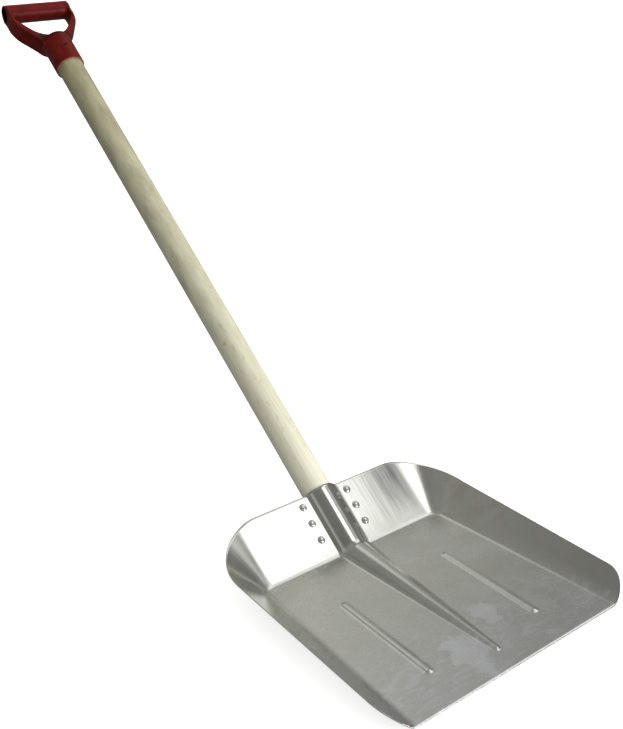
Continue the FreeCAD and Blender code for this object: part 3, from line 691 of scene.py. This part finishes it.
def side_wall_reflection_and_patches(s, tone, ragged):
    """The right wall's sheet: a painted dark reflection that grows towards the front, and reddish-brown
    patches.
    """
    right_wall = s.fade(s.axis("X"), SIDE_WALL)
    # Painted dark reflection on the right wall, darker towards the front
    shade = s.fade(s.axis("Y"), SIDE_WALL_SHADE, (0.75, 0))
    tone = s.mix(s.product(shade, right_wall), tone, SIDE_WALL_PAINTED_REFLECTION)
    # Reddish-brown patches on the right wall
    return s.mix(s.product(s.remap(ragged, (0.5, 0.66), (0, 0.35)), right_wall), tone, REDDISH_PATCH_TONE)


def floor_marks(s, tone, ragged, at_front):
    """The floor's wear, on its upper face only: pale curls at the front and two rubbed patches."""
    upper_face = s.fade(s.axis("Z"), UPPER_FACE)
    on_floor = s.product(upper_face, s.fade(s.axis("Z"), OFF_FLOOR, (1, 0)))
    turned = s.stretched((22, 50, 22), turn=(0, 0, 0.5))
    swirls = s.noise(turned, detail=5.0, roughness=0.6, distortion=2.2)
    tone = s.mix(s.product(s.remap(swirls, (0.5, 0.62), (0, 0.7)), at_front, on_floor), tone, CURL_TONE)
    rubbed = s.math("MAXIMUM", *(patch(s, centre, size, ragged) for centre, size in RUBBED_PATCHES))
    return s.mix(s.product(rubbed, upper_face, 0.65), tone, RUBBED_TONE)


def sheet_metal():
    """Mill-bright aluminium sheet: rolling lines, soft clouds, brush marks up the walls, worn places, and
    painted dark reflections on the right wall and at the back wall's upper right end.
    """
    s = Shader("blade_aluminium")
    rolling = s.noise(s.stretched((1100, 16, 16)), detail=5.0, roughness=0.62)
    clouds = s.noise(s.place, 26.0, detail=3.0, roughness=0.5, distortion=0.3)
    specks = s.noise(s.place, 240.0, detail=4.0, roughness=0.65)
    streaks = s.noise(round_the_walls(s), detail=3.0, roughness=0.6)
    ragged = s.noise(s.stretched((38, 50, 38), turn=(0, 0, 0.6)), detail=3.0, roughness=0.5, distortion=0.3)
    on_wall = s.fade(s.axis("Z"), ON_WALL)
    at_front = s.fade(s.axis("Y"), FRONT_WEAR, (1, 0))
    tone = s.mix(s.remap(clouds, NOISE_RANGE), SHEET_DARK, SHEET_LIGHT)
    tone = s.mix(s.remap(specks, (0.35, 0.75), (0, 0.22)), tone, SHEET_SPECKS)
    tone = s.mix(s.product(at_front, 0.5), tone, FRONT_TONE)
    # Painted dark reflection on the right wall, with reddish-brown patches
    tone = side_wall_reflection_and_patches(s, tone, ragged)
    # Painted dark reflection near the back wall's upper right end
    tone = s.mix(painted_reflection_corner(s, streaks), tone, PAINTED_REFLECTION_TONE)
    tone = floor_marks(s, tone, ragged, at_front)
    lined = s.remap(rolling, NOISE_RANGE, (-0.01, 0.015))
    rough = s.math("ADD", s.remap(clouds, (0.3, 0.75), (0.24, 0.3)), lined)
    rough = s.math("ADD", rough, s.product(on_wall, -0.08))
    normal = s.bump(rolling, distance=0.00002, strength=0.12)
    normal = s.bump(s.product(streaks, on_wall), distance=0.00022, strength=0.4, under=normal)
    dents = s.noise(s.place, 26.0, detail=2.0, roughness=0.4)
    normal = s.bump(dents, distance=0.0012, strength=0.08, under=normal)
    return s.finish(tone, rough, normal, Metallic=1.0)


def plated_steel():
    """Zinc-plated steel for the rear plate, dull and cloudy."""
    s = Shader("plate_zinc")
    clouds = s.noise(s.place, 60.0, detail=4.0, roughness=0.6, distortion=0.8)
    fine = s.noise(s.place, 1500.0, detail=2.0, roughness=0.5)
    tone = s.mix(s.remap(clouds, (0.35, 0.65)), PLATE_DARK, PLATE_LIGHT)
    rough = s.remap(clouds, NOISE_RANGE, (0.34, 0.46))
    return s.finish(tone, rough, s.bump(fine, distance=0.00005, strength=0.6), Metallic=1.0)


def fine_metal(name, tones, cells, roughness):
    """Plain metal of small fasteners, whose tone and roughness vary with a fine grain."""
    s = Shader(name)
    fine = s.noise(s.place, cells, detail=3.0, roughness=0.5)
    tone = s.mix(s.remap(fine, NOISE_RANGE), *tones)
    rough = s.remap(fine, NOISE_RANGE, roughness)
    return s.finish(tone, rough, s.bump(fine, distance=0.00006, strength=0.5), Metallic=1.0)


def screw_metal(name, tones):
    """The finish of the small screws."""
    return fine_metal(name, tones, cells=900.0, roughness=(0.3, 0.45))


def birch_wood():
    """Sanded birch: fine grain, soft bands, small knots and stains, painted shade that makes it greyer and
    darker towards the grip, and grimy mottling there.
    """
    s = Shader("shaft_birch", shaft_matrix())
    fibres = s.noise(s.stretched((620, 620, 9)), detail=5.0, roughness=0.62)
    bands = s.noise(s.stretched((60, 60, 1.8)), detail=3.0, roughness=0.5)
    mottle = s.noise(s.stretched((55, 55, 17)), detail=5.0, roughness=0.65)
    stains = s.noise(s.stretched((130, 130, 60)), detail=3.0, roughness=0.55)
    knots = s.spots(s.stretched((42, 42, 16)))
    growth = s.math("SINE", s.product(bands, 90.0))
    grip_end_shade_and_grime = s.fade(s.axis("Z"), GRIP_END_SHADE_AND_GRIME)
    tone = s.mix(s.remap(bands, NOISE_RANGE), WOOD_LIGHT, WOOD_DARK)
    # Painted shade: greyer and darker towards the grip
    tone = s.mix(grip_end_shade_and_grime, tone, WOOD_GRIP_END_SHADE)
    tone = s.mix(s.remap(fibres, (0.52, 0.74), (0, 0.4)), tone, FIBRE_TONE)
    tone = s.mix(s.product(s.remap(mottle, (0.42, 0.72), (0, 0.85)), grip_end_shade_and_grime), tone, WOOD_GRIME)
    tone = s.mix(s.remap(growth, (0.75, 1.0), (0, 0.22)), tone, GROWTH_TONE)
    tone = s.mix(s.remap(stains, (0.62, 0.75), (0, 0.45)), tone, WOOD_STAIN)
    tone = s.mix(s.remap(knots, (0.02, 0.10), (0.6, 0)), tone, KNOT_TONE)
    rough = s.remap(fibres, NOISE_RANGE, (0.5, 0.62))
    return s.finish(tone, rough, s.bump(fibres, distance=0.00012, strength=0.5), IOR=1.42)


def from_axis(s, first, second):
    """Distance from a straight axis, given by its place in millimetres along two of the texture's axes."""
    offsets = [s.math("SUBTRACT", s.axis(name), place * MM) for name, place in (first, second)]
    return s.math("SQRT", s.math("ADD", *(s.math("POWER", offset, 2.0) for offset in offsets)))


def grip_plastic():
    """Dark red moulded plastic with an orange-peel skin: grimy, with painted shade, near black, inside the
    bar and in the crease by the socket, and painted light at the mouth.
    """
    s = Shader("grip_red_plastic", shaft_matrix())
    clouds = s.noise(s.place, 45.0, detail=4.0, roughness=0.6, distortion=0.6)
    peel = s.noise(s.place, 420.0, detail=2.0, roughness=0.5)
    grime = s.noise(s.place, 120.0, detail=5.0, roughness=0.65, distortion=0.5)
    from_bar = from_axis(s, ("Y", BAR_BEHIND), ("Z", BAR_AT))
    from_shaft = from_axis(s, ("X", 0.0), ("Y", 0.0))
    up = s.axis("Z")
    tone = s.mix(s.remap(clouds, NOISE_RANGE), RED_DARK, RED_LIGHT)
    tone = s.mix(s.remap(grime, (0.5, 0.8), (0, 0.6)), tone, RED_GRIME)
    # Painted shade, near black, inside the bar's bore
    tone = s.mix(s.fade(from_bar, INSIDE_BAR, (0.95, 0)), tone, BAR_BORE_PAINTED_SHADE)
    # Painted shade in the crease where the arms meet the top of the socket
    in_crease = s.product(s.fade(up, CREASE_START), s.fade(up, CREASE_END, (1, 0)))
    tone = s.mix(s.product(in_crease, s.fade(from_shaft, BY_SOCKET, (0.8, 0))), tone, CREASE_PAINTED_SHADE)
    # Painted light at the mouth, where the thin rim lets light through
    at_mouth = s.product(s.fade(up, AT_MOUTH, (1, 0)), s.fade(from_shaft, INSIDE_MOUTH, (0.6, 0)))
    tone = s.mix(at_mouth, tone, MOUTH_PAINTED_LIGHT)
    rough = s.remap(grime, (0.3, 0.75), (0.26, 0.42))
    return s.finish(tone, rough, s.bump(peel, distance=0.0003, strength=0.25), IOR=1.18)


def keep_with(node, material):
    """Gives a CAD node that keeps its own mesh its finished material."""
    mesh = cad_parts[node].data
    mesh.materials.clear()
    mesh.materials.append(material)


# ---------------------------------------------------------------- stage, light, camera

STAGE_TONE, STAGE_ROUGHNESS = (0.6, 0.6, 0.6, 1.0), 0.9
FLOOR_HALF, FLOOR_GLOW = 40.0, 0.7
BACKDROP_RADIUS, BACKDROP_HEIGHT, BACKDROP_SIDES, BACKDROP_GLOW = 38.0, 45.0, 48, 1.0

# Each patch of the sky: direction, angle in degrees up to which it is full, angle where it ends, colour and
# strength. A negative strength takes light away.
SKY_BASE = (0.20, 0.20, 0.19)
SKY_PATCHES = (
    ((0.35, -0.43, 0.83), 7.0, 14.5, (1.0, 1.0, 1.0), 2.1),
    ((0.58, 0.05, 0.80), 9.0, 23.0, (1.0, 1.0, 1.0), 1.0),
    ((0.74, -0.30, 0.58), 4.0, 11.0, (1.0, 1.0, 1.0), 0.35),
    ((0.34, 0.72, 0.59), 6.0, 22.0, (1.0, 1.0, 0.96), 0.32),
    ((0.22, 0.66, 0.72), 3.0, 13.0, (1.0, 1.0, 0.98), 0.38),
    ((-0.40, 0.15, 0.90), 15.0, 45.0, (1.0, 1.0, 0.96), 0.10),
    ((-0.70, -0.35, 0.62), 15.0, 40.0, (1.0, 1.0, 1.0), -0.06),
    ((0.37, -0.92, 0.0), 5.0, 14.0, (1.0, 1.0, 1.0), 8.0),
    ((0.36, 0.93, 0.05), 12.0, 34.0, (1.0, 1.0, 1.0), -0.12),
    ((0.66, 0.67, 0.36), 4.0, 10.0, (1.0, 1.0, 0.98), 0.30),
    ((-0.35, -0.92, 0.14), 8.0, 24.0, (1.0, 1.0, 1.0), 0.35),
    ((-0.95, 0.10, 0.28), 8.0, 24.0, (1.0, 1.0, 1.0), 0.30),
    ((0.0, 0.0, -1.0), 25.0, 84.0, (1.0, 1.0, 1.0), 0.10),
)

# Each lamp: name, direction, spread in degrees, strength
LAMPS = (
    ("key", (0.80, -0.65, 0.45), 70.0, 2.3),
    ("fill", (-0.6, -0.7, 0.5), 110.0, 0.75),
    ("top", (0.0, 0.1, 1.0), 140.0, 0.5),
    ("front", (0.1, -1.0, -0.05), 60.0, 1.15),
    ("back", (0.3, 0.9, 0.2), 90.0, 1.2),
)

# The camera: its lens in millimetres, its place in metres, and the directions that it looks and holds up
LENS = 48.746
CAMERA_PLACE = (-0.629697, -0.566437, 0.682641)
CAMERA_FORWARD, CAMERA_UP = (0.525267, 0.763141, -0.376445), (0.268775, 0.270950, 0.924308)


def make_stage(name, points, faces, glow):
    """A pale stage piece, in metres, that only the camera sees: it neither lights nor shows in the metal."""
    plain = {"Specular_IOR_Level": 0.0, "Emission_Color": (1, 1, 1, 1), "Emission_Strength": glow}
    mesh = bpy.data.meshes.new(name)
    mesh.from_pydata(points, [], faces)
    mesh.materials.append(Shader(name).finish(STAGE_TONE, STAGE_ROUGHNESS, **plain))
    stage = bpy.data.objects.new(name, mesh)
    stage.visible_glossy = False
    stage.visible_diffuse = False
    bpy.context.scene.collection.objects.link(stage)
    return stage


def make_floor():
    """A plain pale floor."""
    corners = [(x * FLOOR_HALF, y * FLOOR_HALF, 0) for x, y in ((-1, -1), (1, -1), (1, 1), (-1, 1))]
    make_stage("stage_floor", corners, [(0, 1, 2, 3)], FLOOR_GLOW)


def make_backdrop():
    """A round white wall far behind everything, which lets the lamps' light through."""
    sides = BACKDROP_SIDES
    turns = [2 * math.pi * k / sides for k in range(sides)]
    low = [(BACKDROP_RADIUS * math.cos(a), BACKDROP_RADIUS * math.sin(a), 0.0) for a in turns]
    points = low + [(x, y, BACKDROP_HEIGHT) for x, y, _ in low]
    faces = [(k, (k + 1) % sides, sides + (k + 1) % sides, sides + k) for k in range(sides)]
    make_stage("stage_backdrop", points, faces, BACKDROP_GLOW).visible_shadow = False


def sky_patch(tree, towards, direction, full, end, colour, strength):
    """The light of one round patch of the sky, which fades smoothly between two angles from its middle."""
    dot = tree.nodes.new("ShaderNodeVectorMath")
    dot.operation = "DOT_PRODUCT"
    tree.links.new(towards, dot.inputs[0])
    dot.inputs[1].default_value = Vector(direction).normalized()
    fade = tree.nodes.new("ShaderNodeMapRange")
    fade.interpolation_type = "SMOOTHSTEP"
    tree.links.new(dot.outputs["Value"], fade.inputs["Value"])
    fade.inputs["From Min"].default_value = math.cos(math.radians(end))
    fade.inputs["From Max"].default_value = math.cos(math.radians(full))
    fade.inputs["To Max"].default_value = strength
    light = tree.nodes.new("ShaderNodeVectorMath")
    light.operation = "SCALE"
    light.inputs[0].default_value = colour
    tree.links.new(fade.outputs["Result"], light.inputs["Scale"])
    return light.outputs["Vector"]


def make_world():
    """A dim studio whose walls and softboxes are soft patches of the sky."""
    world = bpy.data.worlds.new("studio")
    bpy.context.scene.world = world
    world.use_nodes = True
    tree = world.node_tree
    background = tree.nodes["Background"]
    background.inputs["Strength"].default_value = 1.0
    towards = tree.nodes.new("ShaderNodeTexCoord").outputs["Generated"]
    total = None
    for each in SKY_PATCHES:
        joined = tree.nodes.new("ShaderNodeVectorMath")
        joined.operation = "ADD"
        tree.links.new(sky_patch(tree, towards, *each), joined.inputs[0])
        if total is None:
            joined.inputs[1].default_value = SKY_BASE
        else:
            tree.links.new(total, joined.inputs[1])
        total = joined.outputs["Vector"]
    tree.links.new(total, background.inputs["Color"])


def make_lamp(name, direction, spread, strength):
    """A sun lamp that lights dull surfaces only, from a direction and spread over an angle in degrees."""
    light = bpy.data.lights.new(name, "SUN")
    light.energy = strength
    light.angle = math.radians(spread)
    lamp = bpy.data.objects.new(name, light)
    lamp.rotation_euler = Vector(direction).to_track_quat("Z", "Y").to_euler()
    lamp.visible_glossy = False
    bpy.context.scene.collection.objects.link(lamp)


def make_camera():
    camera = bpy.data.cameras.new("camera")
    camera.lens = LENS
    item = bpy.data.objects.new("camera", camera)
    forward = Vector(CAMERA_FORWARD).normalized()
    right = forward.cross(Vector(CAMERA_UP)).normalized()
    turn = Matrix((right, right.cross(forward), -forward)).transposed().to_4x4()
    item.matrix_world = Matrix.Translation(CAMERA_PLACE) @ turn
    bpy.context.scene.collection.objects.link(item)
    bpy.context.scene.camera = item


make_camera()
make_floor()
make_backdrop()
make_world()
for lamp in LAMPS:
    make_lamp(*lamp)
bpy.context.scene.view_settings.view_transform = "Standard"

make_blade(sheet_metal())
make_shaft(birch_wood())
make_socket_plate(plated_steel())
make_grip(grip_plastic())
rivet_metal = fine_metal("rivet_aluminium", (RIVET_DARK, RIVET_LIGHT), cells=700.0, roughness=(0.26, 0.36))
for side, name in ((-1, "left"), (1, "right")):
    for row in range(3):
        node = f"rivet_{name}_{row + 1}"
        make_rivet("head_" + node, node, side * RIVET_SIDE, RIVET_FIRST + row * RIVET_PITCH, rivet_metal)
zinc = screw_metal("screw_zinc", ZINC_SCREW)
for node in ("shaft_screw_1", "shaft_screw_2"):
    keep_with(node, zinc)
# The grip screw's dark tones stand in for the shade in its recess
keep_with("grip_screw", screw_metal("screw_dark_recess_shade", SCREW_SHADE_TONES))
